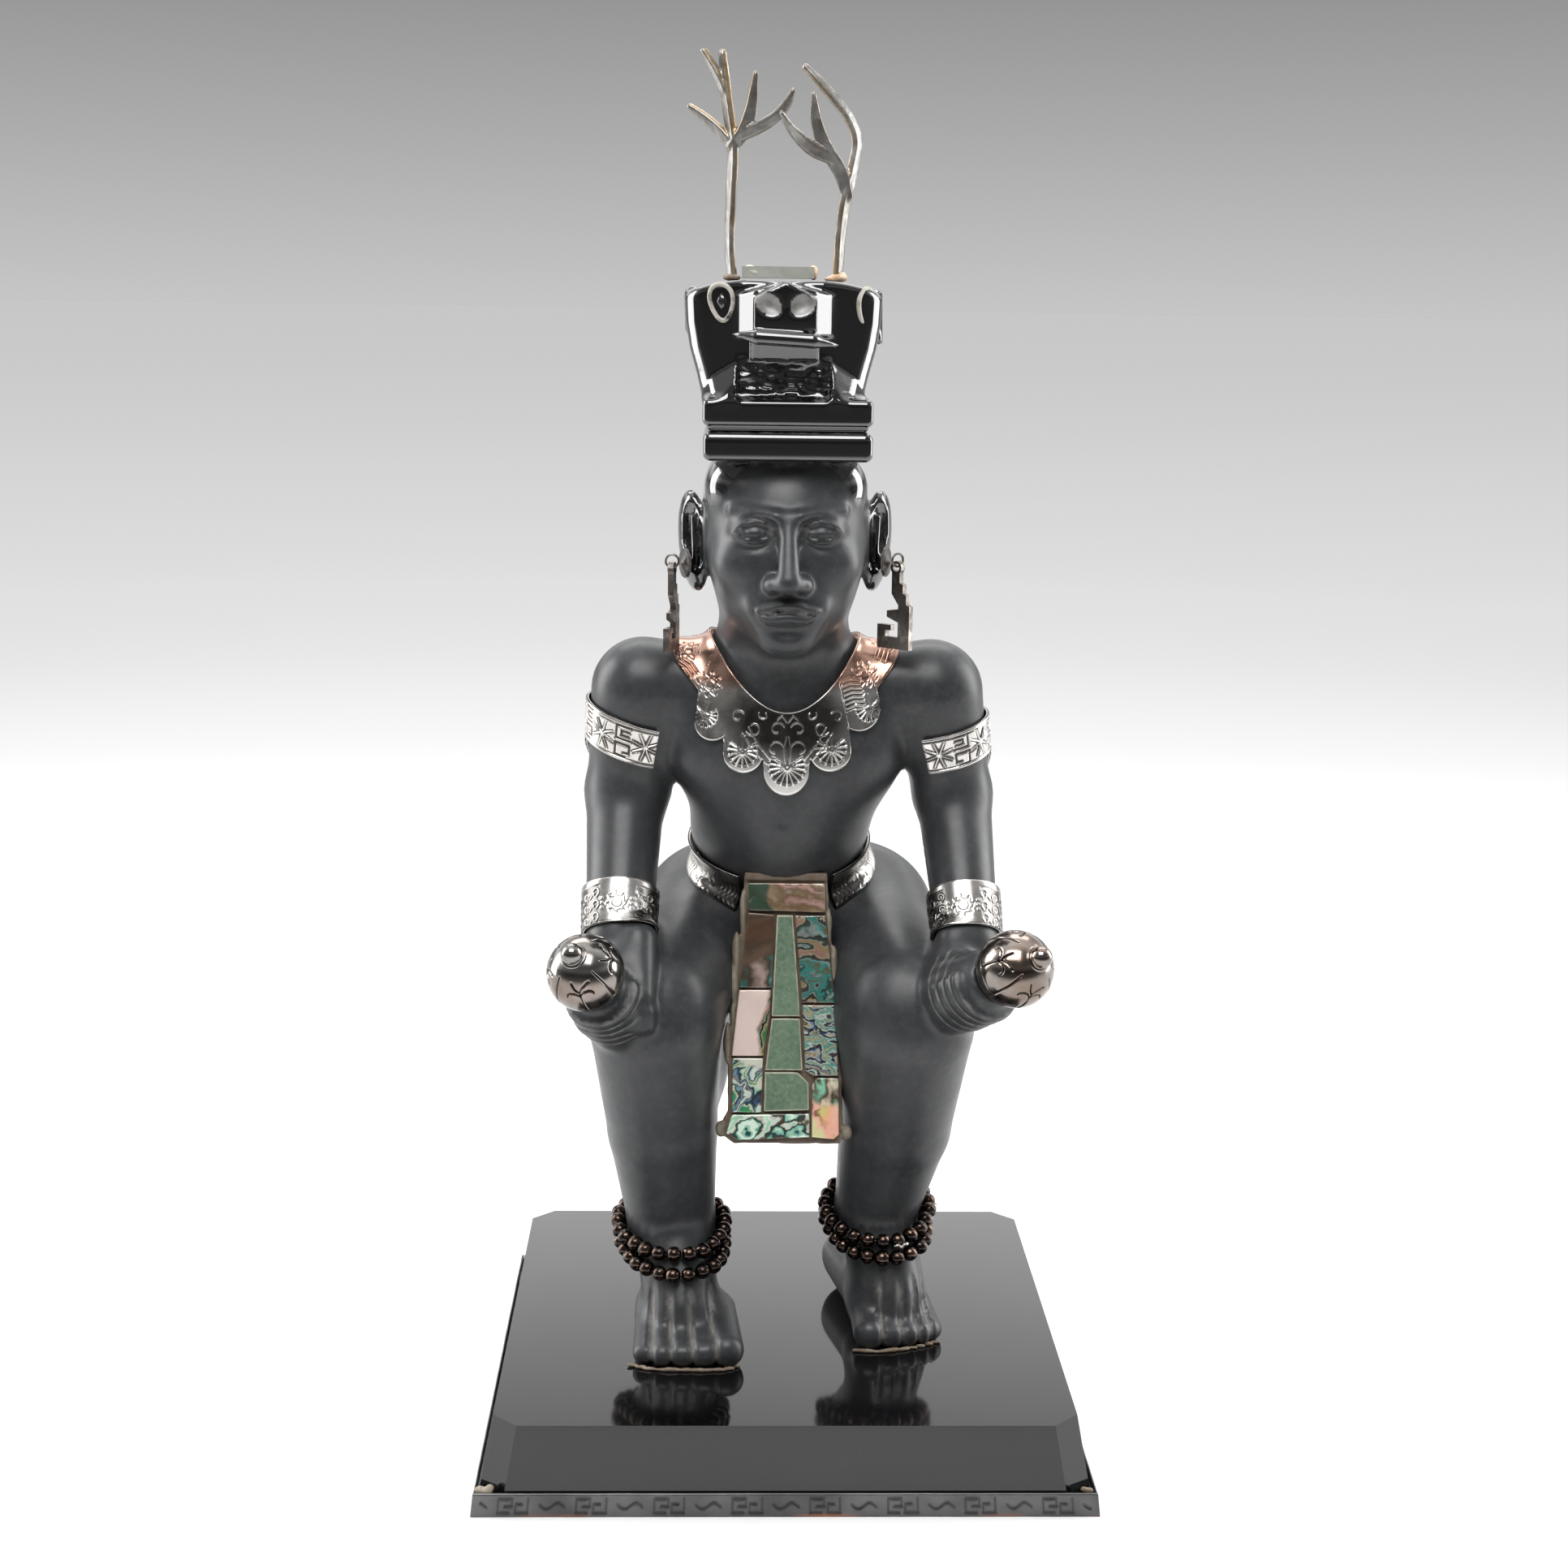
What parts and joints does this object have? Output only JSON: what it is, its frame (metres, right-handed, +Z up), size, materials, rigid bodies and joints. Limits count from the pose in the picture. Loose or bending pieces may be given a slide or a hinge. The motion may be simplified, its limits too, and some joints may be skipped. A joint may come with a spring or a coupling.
{
  "type": "warrior figurine",
  "caption": "Dancing warrior carved in black stone, with a deer-head headdress, metal antlers, silver collar and bands, shell loincloth and rattles, standing on a bevelled square plinth.",
  "frame": {"origin": "centre of the plinth's underside", "axes": "+Z up, -Y the way the figure faces, +X towards the figure's own left hand"},
  "size_m": [0.1524, 0.1524, 0.3484],
  "materials": {
    "carved_stone": "satin, polished on the headdress",
    "plinth_stone": "polished",
    "silver": "embossed, darkened in the hollows",
    "rattle_silver": "engraved, tarnished",
    "antler_metal": "aged",
    "beads": "dark, glossy",
    "resin": "matt",
    "shell": "polished mother of pearl",
    "green_stone": "satin",
    "handle": "matt"
  },
  "bodies": {
    "root": {"plinth": "plinth_stone", "plinth_band": "silver", "figure": "carved_stone", "crown_plate": "antler_metal", "antler_r": "antler_metal", "antler_l": "antler_metal", "ear_stud_r": "silver", "ear_stud_l": "silver", "ear_ring_r": "antler_metal", "ear_ring_l": "antler_metal", "ear_drop_r": "antler_metal", "ear_drop_l": "antler_metal", "collar": "silver", "armband_r": "silver", "armband_l": "silver", "cuff_r": "silver", "cuff_l": "silver", "belt": "silver", "loincloth_bed": "resin", "shell_waist": "shell", "shell_left_upper": "shell", "shell_left_middle": "shell", "shell_left_lower": "shell", "shell_foot": "shell", "shell_right_foot": "shell", "shell_right_lower": "shell", "shell_right_upper": "shell", "green_upper": "green_stone", "green_middle": "green_stone", "green_lower": "green_stone", "rattle_head_r": "rattle_silver", "rattle_head_l": "rattle_silver", "rattle_handle_r": "handle", "rattle_handle_l": "handle", "anklet_r_upper": "beads", "anklet_r_lower": "beads", "anklet_l_upper": "beads", "anklet_l_lower": "beads"}
  },
  "joints": []
}
